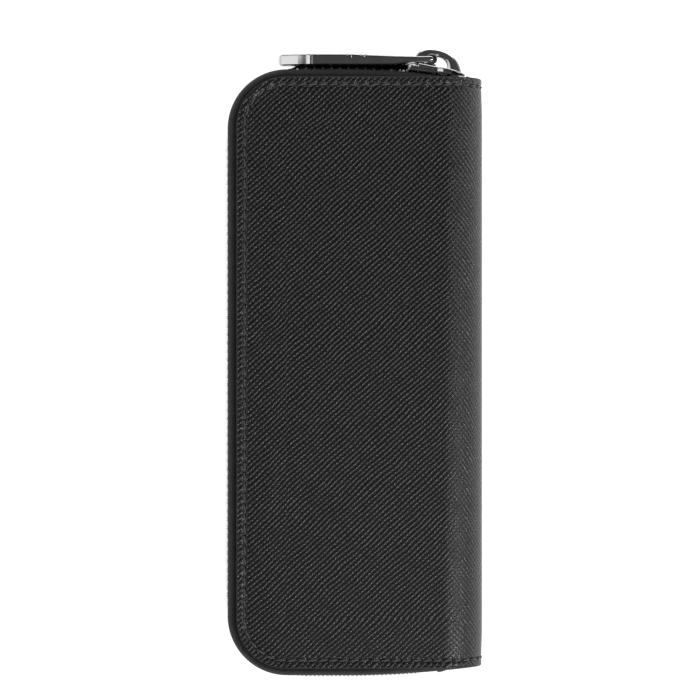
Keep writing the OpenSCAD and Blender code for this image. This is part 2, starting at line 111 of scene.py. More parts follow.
def mesh_object(name, verts, faces, materials, index=None, attributes=None, sharp=40):
    """Makes an object from points in millimetres. attributes are vectors stored on the points."""
    mesh = bpy.data.meshes.new(name)
    mesh.from_pydata((np.asarray(verts, float) * MM).tolist(), [], faces)
    for material in materials:
        mesh.materials.append(material)
    if index is not None:
        mesh.polygons.foreach_set("material_index", np.asarray(index, np.int32))
    mesh.polygons.foreach_set("use_smooth", np.ones(len(mesh.polygons), bool))
    for key, values in (attributes or {}).items():
        made = mesh.attributes.new(key, "FLOAT_VECTOR", "POINT")
        made.data.foreach_set("vector", np.asarray(values, np.float32).ravel())
    mesh.update()
    mesh.set_sharp_from_angle(angle=math.radians(sharp))
    obj = bpy.data.objects.new(name, mesh)
    bpy.context.scene.collection.objects.link(obj)
    return obj


class Parts:
    """Collects points, faces, material indices and a vector attribute for one mesh."""

    def __init__(self):
        self.verts, self.faces, self.index, self.dev = [], [], [], []

    def add(self, verts, faces, index=0, dev=None):
        start = len(self.verts)
        verts = np.asarray(verts, float).reshape(-1, 3)
        self.verts.extend(verts.tolist())
        self.dev.extend((verts if dev is None else np.asarray(dev, float)).tolist())
        self.faces.extend([tuple(int(i) + start for i in f) for f in faces])
        self.index.extend([index] * len(faces))

    def tube(self, rings, place=None, over=False):
        """Adds rings that are joined into a tube, taken to their place and turned over if asked."""
        verts, faces = loft(rings)
        self.add(place(verts) if place else verts, turned(faces, over))

    def make(self, name, materials, sharp=40):
        return mesh_object(name, self.verts, self.faces, materials, self.index, {"dev": self.dev}, sharp)


def loft(rings):
    """Joins rings of equal length, each a closed loop of points, into a tube with closed ends."""
    rings = np.asarray(rings, float)
    count, around = rings.shape[:2]
    faces = []
    for a in range(0, (count - 1) * around, around):
        for j in range(around):
            k = (j + 1) % around
            faces.append((a + j, a + k, a + around + k, a + around + j))
    faces.append(tuple(range(around - 1, -1, -1)))
    faces.append(tuple(range((count - 1) * around, count * around)))
    return rings.reshape(-1, 3), faces


def turned(faces, over=True):
    """Turns faces over, if asked to."""
    return [tuple(reversed(f)) for f in faces] if over else faces


def fix_normals(obj):
    """Makes every closed shell of a mesh face outwards."""
    bm = bmesh.new()
    bm.from_mesh(obj.data)
    bmesh.ops.recalc_face_normals(bm, faces=bm.faces)
    bm.to_mesh(obj.data)
    bm.free()
    obj.data.update()


def line_run(line):
    """Distance along a line of points, up to each of them."""
    return np.concatenate([[0], np.cumsum(np.linalg.norm(np.diff(line, axis=0), axis=1))])


def line_normals(line):
    """Unit normals on the right of a line of points in a plane."""
    step = np.gradient(line, axis=0)
    step /= np.linalg.norm(step, axis=1)[:, None]
    return np.stack([step[:, 1], -step[:, 0]], -1)


def turn_steps(count):
    """Angles of equal steps round a full turn."""
    return np.linspace(0, 2 * math.pi, count + 1)[:-1]


def bevelled(section, width, offset, segments=2):
    """A prism on a section drawn in (X, Z), width long in Y, with every edge rounded."""
    bm = bmesh.new()
    rows = [[bm.verts.new((x, y, z)) for x, z in section] for y in (-width / 2, width / 2)]
    count = len(section)
    bm.faces.new(rows[0])
    bm.faces.new(rows[1][::-1])
    for i in range(count):
        j = (i + 1) % count
        bm.faces.new((rows[0][j], rows[0][i], rows[1][i], rows[1][j]))
    bmesh.ops.recalc_face_normals(bm, faces=bm.faces)
    bmesh.ops.bevel(bm, geom=bm.edges[:], offset=offset, segments=segments, affect="EDGES", profile=0.5)
    bm.verts.index_update()
    verts = np.array([v.co for v in bm.verts])
    faces = [tuple(v.index for v in f.verts) for f in bm.faces]
    bm.free()
    return verts, faces


def rounded_rect(low, high, r, steps=3):
    """Points round a rectangle with rounded corners, in two coordinates."""
    r = min(r, (high[0] - low[0]) / 2 * 0.98, (high[1] - low[1]) / 2 * 0.98)
    points = []
    (left, right), (lower, upper) = ((low[i] + r, high[i] - r) for i in (0, 1))
    for corner, (cx, cy) in enumerate(((right, upper), (left, upper), (left, lower), (right, lower))):
        for i in range(steps + 1):
            a = math.pi / 2 * (corner + i / steps)
            points.append((cx + r * math.cos(a), cy + r * math.sin(a)))
    return points


def named(front, rest):
    """The name of a piece, a node or a body of the front or the back cover."""
    return ("front_" if front else "back_") + rest


def settle(obj, body, node):
    """Makes a rigid piece ride on its body and stand for its CAD node."""
    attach(obj, body)
    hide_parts(node)


# ---- Materials ----


def node(tree, kind, inputs=None, **props):
    """Adds a shader node; inputs are values or sockets. Returns its first output."""
    made = tree.nodes.new("ShaderNode" + kind)
    for key, value in props.items():
        setattr(made, key, value)
    for key, value in (inputs or {}).items():
        if isinstance(value, bpy.types.NodeSocket):
            tree.links.new(value, made.inputs[key])
        else:
            made.inputs[key].default_value = value
    return made.outputs[0]


class Shader:
    """A new material with its Principled shader; settings are the shader's constant inputs."""

    def __init__(self, name, **settings):
        self.material = bpy.data.materials.new(name)
        self.material.use_nodes = True
        self.tree = self.material.node_tree
        self.bsdf = self.tree.nodes["Principled BSDF"]
        for key, value in settings.items():
            self.bsdf.inputs[key.replace("_", " ")].default_value = value

    @cached_property
    def dev(self):
        """The place on the flat pattern that a point comes from, in millimetres."""
        return node(self.tree, "Attribute", attribute_name="dev").node.outputs["Vector"]

    @cached_property
    def here(self):
        """The point's place in space, in metres."""
        return node(self.tree, "TexCoord").node.outputs["Object"]

    def maths(self, operation, a, b=0.0, c=0.0):
        return node(self.tree, "Math", {0: a, 1: b, 2: c}, operation=operation)

    def times(self, a, b):
        return self.maths("MULTIPLY", a, b)

    def times_plus(self, a, b, c):
        return self.maths("MULTIPLY_ADD", a, b, c)

    def mixed(self, factor, a, b):
        """Mixes two colours, each a triple or a socket."""
        a, b = ((*colour, 1) if isinstance(colour, tuple) else colour for colour in (a, b))
        # sockets 0, 6 and 7 are the mix's factor and its two colours, and output 2 is its colour
        return node(self.tree, "Mix", {0: factor, 6: a, 7: b}, data_type="RGBA").node.outputs[2]

    def ranged(self, value, low, high, to_low, to_high):
        return node(self.tree, "MapRange", {0: value, 1: low, 2: high, 3: to_low, 4: to_high})

    def noise(self, place, scale, detail=2.0, roughness=0.5):
        inputs = {"Vector": place, "Scale": scale, "Detail": detail, "Roughness": roughness}
        return node(self.tree, "TexNoise", inputs)

    def ridges(self, angle, period, wobble, sharpness=1.0):
        """Parallel ridges that run at an angle on the pattern, as a height from 0 to 1."""
        across = (-math.sin(math.radians(angle)), math.cos(math.radians(angle)), 0)
        phase = node(self.tree, "VectorMath", {0: self.dev, 1: across}, operation="DOT_PRODUCT")
        # the dot product is the node's second output
        wave = self.times_plus(phase.node.outputs["Value"], 2 * math.pi / period, wobble)
        return self.maths("POWER", self.times_plus(self.maths("COSINE", wave), 0.5, 0.5), sharpness)

    def surface(self, height, distance, colour, rough):
        """Joins up bump, colour and roughness. A height of 1 stands distance millimetres high."""
        bumped = node(self.tree, "Bump", {"Height": height, "Distance": distance * MM, "Strength": 1.0})
        for socket, value in (("Normal", bumped), ("Base Color", colour), ("Roughness", rough)):
            self.tree.links.new(value, self.bsdf.inputs[socket])
        return self.material


def leather_material(name, colour):
    """Cross-grained leather: two families of ridges, each cut into dashes by the other's hollows, with a
    painted highlight on their crests.
    """
    m = Shader(name, IOR=1.5)
    wobble = m.times(m.noise(m.dev, 0.09), 9.0)
    # over the spine's turn the second family takes over from the first
    across = node(m.tree, "SeparateXYZ", {"Vector": m.dev})
    spine_side = m.ranged(across, flat_u + 1.0, flat_u + 3.5, 0.0, 1.0)
    one_here = m.ranged(spine_side, 0.0, 1.0, 1.0, 0.35)
    two_here = m.times(m.ranged(spine_side, 0.0, 1.0, 0.5, 2.6), 0.8)
    one_dashes = m.ranged(m.ridges(-50, 1.2, wobble), 0.0, 1.0, 0.3, 1.45)
    two_dashes = m.ranged(m.ridges(42, 1.12, wobble), 0.0, 1.0, 0.55, 1.3)
    one_breaks = m.ranged(m.noise(m.dev, 1.1, 1.0, 0.6), 0.36, 0.6, 0.6, 1.0)
    two_breaks = m.ranged(m.noise(m.dev, 0.6, 1.0), 0.35, 0.65, 0.15, 1.0)
    one = m.times(m.ridges(42, 1.12, wobble, 6.0), one_dashes)
    two = m.times(m.ridges(-50, 1.05, wobble, 5.0), two_dashes)
    one = m.times(m.times(one, one_breaks), one_here)
    two = m.times(m.times(two, two_breaks), two_here)
    grain = m.maths("MAXIMUM", one, two)
    height = m.times_plus(m.noise(m.dev, 5.0, 3.0), 0.14, grain)
    # crest is a painted highlight: the ridges' tops are coloured up to 26 times as light as the leather,
    # laid over its random dark and light tone
    dark, light, crest = (tuple(c * share for c in colour) for share in (0.8, 1.25, 26))
    tone_and_painted_glint = m.mixed(m.times(grain, 0.7), m.mixed(m.noise(m.dev, 0.05, 3.0), dark, light), crest)
    return m.surface(height, 0.19, tone_and_painted_glint, m.ranged(grain, 0.0, 1.0, 0.34, 0.25))


def edge_paint_material():
    m = Shader("edge_paint", IOR=1.4)
    waver = m.noise(m.dev, 1.2, 3.0)
    colour = m.mixed(waver, (0.002, 0.002, 0.002), (0.007, 0.007, 0.0075))
    return m.surface(waver, 0.05, colour, m.ranged(waver, 0.3, 0.7, 0.6, 0.8))


def smooth_leather_material():
    """Soft plain leather with a fine pebble, for the parts inside."""
    m = Shader("smooth_leather", IOR=1.48, Sheen_Weight=0.15, Sheen_Roughness=0.5)
    cells = node(m.tree, "TexVoronoi", {"Vector": m.dev, "Scale": 2.6}, feature="SMOOTH_F1")
    crease = m.noise(m.dev, 0.25, 4.0)
    colour = m.mixed(crease, (0.011, 0.011, 0.012), (0.03, 0.029, 0.028))
    return m.surface(m.times_plus(crease, 1.6, cells), 0.05, colour, m.ranged(cells, 0.0, 0.6, 0.42, 0.6))


def lining_material():
    """Close twill, woven on the diagonal."""
    m = Shader("lining_cloth", IOR=1.45, Sheen_Weight=0.4, Sheen_Roughness=0.45)
    waver = m.times(m.noise(m.dev, 0.3), 1.5)
    weave = m.times(m.ridges(62, 0.62, waver), m.times_plus(m.ridges(0, 0.36, waver), 0.5, 0.5))
    base = m.mixed(m.noise(m.dev, 0.08, 5.0), (0.020, 0.020, 0.022), (0.038, 0.038, 0.041))
    colour = m.mixed(weave, (0.012, 0.012, 0.012), base)
    return m.surface(weave, 0.07, colour, m.ranged(weave, 0.0, 1.0, 0.9, 0.7))


def thread_material():
    """Waxed two-ply thread; dev runs along the thread in X and round it in Y."""
    m = Shader("thread", IOR=1.5, Sheen_Weight=0.2)
    fibres = m.noise(m.dev, 6.0, 3.0)
    colour = m.mixed(fibres, (0.02, 0.02, 0.02), (0.06, 0.06, 0.058))
    return m.surface(fibres, 0.04, colour, m.ranged(fibres, 0.3, 0.7, 0.38, 0.6))


def tape_material():
    """Woven zip tape with fine ribs; dev runs along the tape in X and across it in Y."""
    m = Shader("zip_tape", IOR=1.3, Sheen_Weight=0.05, Sheen_Roughness=0.4)
    waver = m.times(m.noise(m.dev, 0.5), 0.8)
    weave = m.times(m.ridges(90, 0.55, waver), m.ridges(0, 0.7, waver, 0.8))
    base = m.mixed(m.noise(m.dev, 0.12, 4.0), (0.004, 0.004, 0.0045), (0.009, 0.009, 0.0095))
    colour = m.mixed(weave, (0.002, 0.002, 0.002), base)
    return m.surface(weave, 0.09, colour, m.ranged(weave, 0.0, 1.0, 0.92, 0.68))


def metal_material(name, dark, light, rough_low, rough_high, grain):
    """Plated metal with faint polishing marks, handling smears and small pits."""
    m = Shader(name, Metallic=1.0)
    smear = m.noise(m.here, 260.0, 4.0)
    stretched = node(m.tree, "Mapping", {"Vector": m.here, "Scale": (900.0, 9000.0, 9000.0)})
    height = m.times_plus(smear, 0.6, m.noise(stretched, 1.0))
    rough = m.ranged(smear, 0.3, 0.7, rough_low, rough_high)
    return m.surface(height, grain, m.mixed(smear, dark, light), rough)


def board_material():
    m = Shader("board", IOR=1.45)
    fibre = m.noise(m.here, 900.0, 4.0)
    colour = m.mixed(fibre, (0.16, 0.15, 0.13), (0.3, 0.28, 0.25))
    return m.surface(fibre, 0.05, colour, m.ranged(fibre, 0.3, 0.7, 0.75, 0.95))


grained = leather_material("grained_leather", (0.0028, 0.0028, 0.003))
edge_paint = edge_paint_material()
smooth_leather = smooth_leather_material()
lining_cloth = lining_material()
thread = thread_material()
zip_tape = tape_material()
tooth_metal = metal_material("tooth_metal", (0.72, 0.72, 0.73), (0.9, 0.9, 0.9), 0.22, 0.34, 0.004)
slider_metal = metal_material("slider_metal", (0.52, 0.52, 0.53), (0.66, 0.66, 0.66), 0.16, 0.26, 0.003)
puller_metal = metal_material("puller_metal", (0.56, 0.56, 0.57), (0.7, 0.7, 0.7), 0.12, 0.2, 0.002)
board = board_material()

# ---- The folded sheet that hide and lining are cut from ----


def fold(u, v, h, front):
    """Takes places on the flat pattern to the closed case. h is the height above the leather's face."""
    u, v, h = (np.asarray(a, float) for a in np.broadcast_arrays(u, v, h))
    turn = np.clip((u - flat_u) / spine_r, 0, math.pi / 2)
    # the leather bows out a little over the hollow spine
    h = h + spine_bow * smoothstep((turn / (math.pi / 2) - 0.15) / 0.85)
    past = np.maximum(u - flat_u - turn_len, 0)
    x = np.where(u <= flat_u, u + zip_x, flat_x + (spine_r + h) * np.sin(turn))
    z = np.where(u <= flat_u, h, (spine_r + h) * np.cos(turn) - spine_r) - past
    return np.stack([x, v, thick + z if front else -z], -1)


def settle_folded(obj, front, node, spine_node):
    """Bakes a folded piece's place into its points.

    It stands for its cover's CAD node, if there is one, and the front's piece for the spine's as well."""
    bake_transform(obj)
    stands_for = [named(front, node)] if node else []
    if front:
        stands_for.append(spine_node)
    if stands_for:
        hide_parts(*stands_for)


def stitch_runs():
    """Lengths of a cover's stitch line: along its end, round a corner and down its side."""
    return u_end - corner_r, (corner_r - stitch_inset) * math.pi / 2, 2 * (half_len - corner_r)


def stitch_counts():
    """How many stitches each of those lengths holds."""
    return [max(2, round(run / stitch_pitch)) for run in stitch_runs()]


def pattern_sheet(inset, profile, core_h, per_pitch, relief=None, narrow=None):
    """A sheet with rounded corners on the zip side, as rings round a core grid.

    profile lists (distance from the edge, height) from the under side, round the edge and over the top.
    core_h is the height of the under and upper core. relief(d, s) is a height to add on top."""
    r = corner_r - inset
    half = half_len - inset
    n_level, n_corner, n_side = stitch_counts()
    us = np.linspace(corner_r, u_end, n_level * per_pitch + 1)
    vs = np.linspace(-(half - r), half - r, n_side * per_pitch + 1)
    nu, nv = len(us), len(vs)
    core = lambda i, j: j * nu + i
    turns = n_corner * per_pitch
    # the way round the sheet, as (core column, core row, direction outwards)
    round_way = [(i, nv - 1, 90.0) for i in range(nu - 1, -1, -1)]
    round_way += [(0, nv - 1, 90 + 90 * k / turns) for k in range(1, turns)]
    round_way += [(0, j, 180.0) for j in range(nv - 1, -1, -1)]
    round_way += [(0, 0, 180 + 90 * k / turns) for k in range(1, turns)]
    round_way += [(i, 0, 270.0) for i in range(nu)]
    wide = len(round_way)
    base = np.array([(us[i], vs[j]) for i, j, _ in round_way])
    way = np.radians([direction for _, _, direction in round_way])
    inner = np.array([core(i, j) for i, j, _ in round_way])
    # the count of stitches up to each place
    s = np.arange(wide) / per_pitch
    grid_u, grid_v = np.meshgrid(us, vs)
    flat_core = np.stack([grid_u.ravel(), grid_v.ravel(), np.full(nu * nv, corner_r)], -1)
    dev, height, faces = [flat_core], [np.full(nu * nv, core_h[0])], []
    for d, h in profile:
        out = r - (d - inset)
        place = base + out * np.stack([np.cos(way), np.sin(way)], -1)
        dev.append(np.column_stack([place, np.full(wide, d)]))
        lift = relief(np.full(wide, d), s) if relief and h > core_h[0] + 0.2 else 0
        height.append(np.full(wide, h) + lift)
    dev.append(flat_core)
    top_lift = relief(np.full(nu * nv, corner_r), np.zeros(nu * nv)) if relief else 0
    height.append(np.full(nu * nv, core_h[1]) + top_lift)
    last_core = nu * nv + wide * len(profile)
    rings = [np.arange(first, first + wide) for first in range(nu * nv, last_core, wide)]
    rows = [inner] + rings + [last_core + inner]
    for a, b in zip(rows[:-1], rows[1:]):
        for i in range(wide - 1):
            quad = [a[i], a[i + 1], b[i + 1], b[i]]
            face = [q for n, q in enumerate(quad) if q != quad[n - 1]]
            if len(face) > 2:
                faces.append(tuple(int(q) for q in face))
    for j in range(nv - 1):
        for i in range(nu - 1):
            quad = (core(i, j), core(i + 1, j), core(i + 1, j + 1), core(i, j + 1))
            faces.append(quad)
            faces.append(tuple(last_core + q for q in reversed(quad)))
    dev, height = np.vstack(dev), np.concatenate(height)
    if narrow:
        dev[:, 1] -= np.sign(dev[:, 1]) * narrow(dev[:, 0]) * smoothstep((abs(dev[:, 1]) - half + 14) / 14)
    # the end at the middle of the spine is closed with points of its own, so that it stays a crisp seam
    sides = rows[1:-1]
    lower_edge = [core(nu - 1, j) for j in range(nv - 1, -1, -1)]
    loop = lower_edge + [int(row[-1]) for row in sides]
    loop += [last_core + q for q in lower_edge[::-1]] + [int(row[0]) for row in sides[::-1]]
    seam = [len(dev) + i for i in range(len(loop))]
    corners = np.cumsum([nv, len(sides), nv])
    under, far_side, over, near_side = (list(part) for part in np.split(seam, corners))
    over.reverse()
    faces += [(under[j], over[j], over[j + 1], under[j + 1]) for j in range(nv - 1)]
    faces += [(under[-1], *far_side, over[-1]), (over[0], *near_side, under[0])]
    return np.vstack([dev, dev[loop]]), np.concatenate([height, height[loop]]), faces


# ---- Hide ----

groove_half = 0.42
edge_round = 0.55


def hide_relief(d, s):
    """Height of the leather's face: it sinks at the stitch line, puckers at each hole and swells."""
    off_line = d - stitch_inset
    line = -0.2 * np.exp(-((off_line / groove_half) ** 2))
    to_hole = (s - np.round(s)) * stitch_pitch
    hole = -0.42 * np.exp(-(off_line**2 + to_hole**2) / 0.4**2)
    swell = 0.11 * np.exp(-(((d - 1.15) / 0.55) ** 2)) * (0.65 + 0.35 * np.cos(2 * math.pi * (s - 0.5)))
    pulled = -0.14 * np.exp(-np.maximum(off_line, 0) / 1.6)
    sunk = -0.13 * (1 - smoothstep((d - 4.5) / 5.0))
    return np.where(d > 0.35, line + hole + swell + pulled, 0) * smoothstep((d - 0.35) / 0.35) + sunk


def edge_profile(t, r):
    """The leather's cut and painted edge, from under it to its face."""
    rise = [(corner_r * 0.24, -t), (0.32, -t), (0.1, -t + 0.06), (0.02, -t + 0.2), (0.0, -t + 0.4)]
    for k in range(6):
        a = math.pi / 2 * k / 5
        rise.append((r * (1 - math.cos(a)), -r + r * math.sin(a)))
    return rise


def make_hide(front):
    # close together round the stitch line, and wider apart towards the middle of the cover
    steps = [0.72, 0.9, 1.1, 1.3, 1.5, 1.65, 1.8, 1.95, 2.08, 2.2, 2.32, 2.45, 2.6, 2.8, 3.1, 3.6]
    steps += [4.4, 5.6, 7.2, 9.2, 11.4]
    profile = edge_profile(leather_t, edge_round) + [(d, 0.0) for d in steps]
    dev, height, faces = pattern_sheet(0, profile, (-leather_t, 0.0), 6, hide_relief)
    waves = 0.018 * np.sin(dev[:, 0] * 0.21 + 1) * np.sin(dev[:, 1] * 0.13) - 0.018
    height = height + waves * smoothstep((dev[:, 2] - 3) / 4) * (height > -0.6)
    verts = fold(dev[:, 0], dev[:, 1], height, front)
    painted = [int(max(dev[q][2] for q in f) < 0.33 and max(height[q] for q in f) < -0.11) for f in faces]
    faces = turned(faces, not front)
    obj = mesh_object(named(front, "hide"), verts, faces, [grained, edge_paint], painted, {"dev": dev}, 50)
    settle_folded(obj, front, "leather", "spine_leather")


def make_lining(front):
    t = 0.6
    profile = [(4.0, -t), (1.06, -t), (1.0, -t / 2), (1.06, -0.04), (1.3, 0.0), (4.0, 0.0), (8.0, 0.0)]
    depth = wall_t - t
    dev, height, faces = pattern_sheet(1.0, profile, (-t, 0.0), 2, None, lambda u: dive_at(u + zip_x))
    # the profile is drawn with its face up, and the lining faces into the case
    height = -wall_t - height
    soft = 0.05 * np.sin(dev[:, 0] * 0.33) * np.sin(dev[:, 1] * 0.19 + 0.6)
    height = height + np.where(height < -depth - 0.3, soft - 0.05, 0) * smoothstep((dev[:, 2] - 1) / 3)
    verts = fold(dev[:, 0], dev[:, 1], height, front)
    faces = turned(faces, front)
    obj = mesh_object(named(front, "lining_cloth"), verts, faces, [lining_cloth], None, {"dev": dev}, 50)
    settle_folded(obj, front, "lining", "spine_lining")


def dive_at(x):
    """How far the zip has sunk in from the case's end at a place across it."""
    x = np.minimum(np.asarray(x, float), dive_end_x)
    past = np.maximum(x - dive_x, 0)
    return dive_r_top - np.sqrt(dive_r_top**2 - past**2)


def make_spine_board(front):
    """Half of the thin board that stiffens the spine."""
    us = np.linspace(flat_u + 8.2, u_end, 14)
    half = half_len - 6.5
    section_u = np.concatenate([us, us[::-1]])
    section_h = np.repeat([-leather_t - 0.02, -leather_t - 0.5], len(us))
    part = Parts()
    part.tube([fold(section_u, v, section_h, front) for v in np.linspace(-half, half, 40)])
    obj = part.make(named(front, "spine_board"), [board])
    settle_folded(obj, front, None, "spine_stiffener")


# ---- Stitching ----


def stitch_template(length, radius=0.27, sink=0.32):
    """One stitch of two-ply thread along X, dipping into its holes at both ends.

    The last thing it gives is each point's place along and round the thread."""
    along, around = 16, 8
    rings, dev = [], []
    for i in range(along + 1):
        t = -1 + 2 * i / along
        r = radius * (1 - 0.35 * abs(t) ** 5)
        x = t * length / 2
        z = -sink * abs(t) ** 3.2
        ring, mark = [], []
        for j in range(around):
            a = 2 * math.pi * j / around
            ply = r * (1 + 0.13 * math.cos(2 * a - 5.2 * x))
            ring.append((x, ply * math.cos(a), z + ply * math.sin(a)))
            mark.append((x, a * r, 0))
        rings.append(ring)
        dev.extend(mark)
    verts, faces = loft(rings)
    return verts, faces, np.array(dev)


def edge_stitch_places():
    """Middles of the stitches round a cover, from one spine end to the other.

    Each is (u, v, direction, pitch) on the flat pattern."""
    r = corner_r - stitch_inset
    level, corner, side = stitch_runs()
    n_level, n_corner, n_side = stitch_counts()
    middles = lambda count: [(i + 0.5) / count for i in range(count)]

    def corner_places(first, middle_v):
        """Stitches round a corner, whose arc starts at the angle first."""
        for share in middles(n_corner):
            a = math.radians(first + 90 * share)
            spot = (corner_r + r * math.cos(a), middle_v + r * math.sin(a))
            places.append((*spot, first + 90 * share + 90, corner / n_corner))

    v = half_len - stitch_inset
    places = [(u_end - level * share, v, 180.0, level / n_level) for share in middles(n_level)]
    corner_places(90, side / 2)
    places += [(stitch_inset, side / 2 - side * share, 270.0, side / n_side) for share in middles(n_side)]
    corner_places(180, -side / 2)
    places += [(corner_r + level * share, -v, 0.0, level / n_level) for share in middles(n_level)]
    return places


def make_stitching(front):
    part = Parts()
    rng = np.random.default_rng(7 if front else 8)
    for u, v, way, pitch in edge_stitch_places():
        verts, faces, dev = stitch_template(pitch - 0.42)
        a = math.radians(way + 9 + rng.normal(0, 1.5))
        along = verts[:, 0] * math.cos(a) - verts[:, 1] * math.sin(a)
        across = verts[:, 0] * math.sin(a) + verts[:, 1] * math.cos(a)
        placed = fold(u + along, v + across, verts[:, 2] - 0.3, front)
        part.add(placed, turned(faces, not front), 0, dev + rng.uniform(0, 50))
    obj = part.make(named(front, "edge_stitches"), [thread], 60)
    settle_folded(obj, front, "stitching", "spine_stitching")


# ---- Zip ----

side_y = half_len - corner_r
corner_x = zip_x + corner_r
chain_corner_r = corner_r + chain_bulge
tape_end_x = spine_x - 2.4
slider_x = spine_x - 12.0
slider_tilt = math.asin((slider_x - dive_x) / dive_r_top)
teeth_top_x = slider_x + 1.5
teeth_bottom_x = slider_x - 1
clip_gap = 2.6
# between these places the back tape's edge reaches past the teeth, a dark fringe that is painted shade
# under the puller
shade_fringe_ends = (-21.0, 15.5)
shade_fringe_out = 1.7


def chain_runs(top_x, bottom_x):
    """The runs of the chain's middle, from the slider's end round to the other.

    Each is (length, a function that takes a distance along it to a centre, a radius and a direction)."""

    def arc(cx, cy, r, a0, a1):
        turn = math.radians(abs(a1 - a0)) * r
        sign = 1 if a1 > a0 else -1
        return turn, lambda s: (cx, cy, r, a0 + sign * math.degrees(s / r))

    top = math.degrees(math.asin((top_x - dive_x) / dive_r_top))
    bottom = math.degrees(math.asin((bottom_x - dive_x) / dive_r_bottom))
    out = half_len + chain_bulge
    return [
        arc(dive_x, out - dive_r_top, dive_r_top, 90 - top, 90),
        (dive_x - corner_x, lambda s: (dive_x - s, out, 0, 90)),
        arc(corner_x, side_y, chain_corner_r, 90, 180),
        (2 * side_y, lambda s: (zip_x - chain_bulge, side_y - s, 0, 180)),
        arc(corner_x, -side_y, chain_corner_r, 180, 270),
        (dive_x - corner_x, lambda s: (corner_x + s, -out, 0, 270)),
        arc(dive_x, dive_r_bottom - out, dive_r_bottom, 270, 270 + bottom),
    ]


def on_chain(runs, s):
    """Place of the chain's middle at a distance along it, and its outward direction."""
    for length, place in runs[:-1]:
        if s <= length:
            break
        s -= length
    else:
        place = runs[-1][1]
    cx, cy, r, a = place(s)
    out = np.array([math.cos(math.radians(a)), math.sin(math.radians(a))])
    return np.array([cx, cy]) + r * out, out


def tape_section():
    """Section of one tape in (outward from the leather's edge, Z), and the distance along it."""
    a = chain_bulge - tape_root
    b = tape_edge_z - (leather_t + board_t / 2)
    middle = [(-4.0, leather_t + board_t / 2)]
    for k in range(15):
        t = math.pi / 2 * (1 - k / 14)
        middle.append((tape_root + a * math.cos(t), tape_edge_z - b * math.sin(t)))
    middle = np.array(middle)
    half = np.full(len(middle), board_t / 2)
    half[-3:-1] += (0.08, 0.12)
    out = line_normals(middle) * half[:, None]
    points = np.vstack([middle + out, middle[-1] + (0, 0.12), (middle - out)[::-1]])
    run = line_run(middle)
    return points, np.concatenate([run, [run[-1] + 0.3], -run[::-1]])


def make_tape(front):
    runs = chain_runs(tape_end_x, tape_end_x)
    total = sum(length for length, _ in runs)
    section, marks = tape_section()
    count = round(total / 0.7)
    rings, dev = [], []
    for i in range(count + 1):
        s = total * i / count
        spot, out = on_chain(runs, s)
        ripple = 0.05 * math.sin(s * 0.9) + 0.03 * math.sin(s * 0.37 + 1)
        w = section[:, 0] + ripple * np.sin(np.clip(abs(marks) / 10, 0, 1) * math.pi)
        if not front:
            # under the puller the back tape's woven edge is widened out past the teeth, a dark fringe that
            # is painted shade and closes the gaps between the teeth
            reach = half_len + chain_bulge + shade_fringe_out - spot[1] if spot[1] > 0 else 0.0
            rise, fall = (spot[0] - shade_fringe_ends[0]) / 6, (shade_fringe_ends[1] - spot[0]) / 2
            shade_fringe = reach * float(smoothstep(rise) * smoothstep(fall))
            w = w + shade_fringe * smoothstep((abs(marks) - marks.max() + 1.5) / 1.2)
        rings.append(np.column_stack([spot - out * chain_bulge + np.outer(w, out), section[:, 1]]))
        dev.append(np.column_stack([np.full(len(section), s), marks, np.zeros(len(section))]))
    verts, faces = loft(rings)
    # round the spine's turn the tape stays under the leather
    past = np.maximum(verts[:, 0] - flat_x, 0)
    limit = spine_r - np.sqrt(np.maximum((spine_r - leather_t - 0.1) ** 2 - past**2, 0))
    z = np.maximum(verts[:, 2], np.where(past > 0, limit, 0))
    verts[:, 2] = thick - z if front else z
    faces = turned(faces, not front)
    obj = mesh_object(named(front, "tape"), verts, faces, [zip_tape], None, {"dev": np.vstack(dev)}, 50)
    settle(obj, named(front, "cover"), named(front, "zip_tape"))


def tooth_template():
    """A cast tooth, drawn in (outward, Z) and rounded all over."""
    top, foot = mid_z + 1.0, mid_z - 2.8
    half = 1.15
    side = [(0.42, foot), (0.9, foot + 0.8), (1.0, foot + 1.5), (1.0, top - 0.85), (0.6, top)]
    section = [(share * half, z) for share, z in side] + [(-share * half, z) for share, z in side[::-1]]
    return bevelled(section, 0.95, 0.26)


def corner_tuck(s, runs):
    """How far the teeth draw in at the case's corners, where the tape folds over them."""
    ends = np.cumsum([length for length, _ in runs])
    tuck = 0.0
    for first, last in ((ends[1], ends[2]), (ends[3], ends[4])):
        middle, half = (first + last) / 2, (last - first) / 2 + 5
        tuck = max(tuck, float(smoothstep((half - abs(s - middle)) / 8)))
    return 0.85 * tuck


def make_teeth(front):
    runs = chain_runs(teeth_top_x, teeth_bottom_x)
    verts, faces = tooth_template()
    part = Parts()
    for i in range(tooth_count):
        s = (i + (1.0 if front else 0.5)) * tooth_pitch
        spot, out = on_chain(runs, s)
        spot = spot - out * corner_tuck(s, runs)
        along = np.array([-out[1], out[0]])
        xy = spot + np.outer(verts[:, 0], out) + np.outer(verts[:, 1], along)
        z = thick - verts[:, 2] if front else verts[:, 2]
        part.add(np.column_stack([xy, z]), turned(faces, front))
    obj = part.make(named(front, "teeth_row"), [tooth_metal], 50)
    settle(obj, named(front, "cover"), named(front, "teeth"))


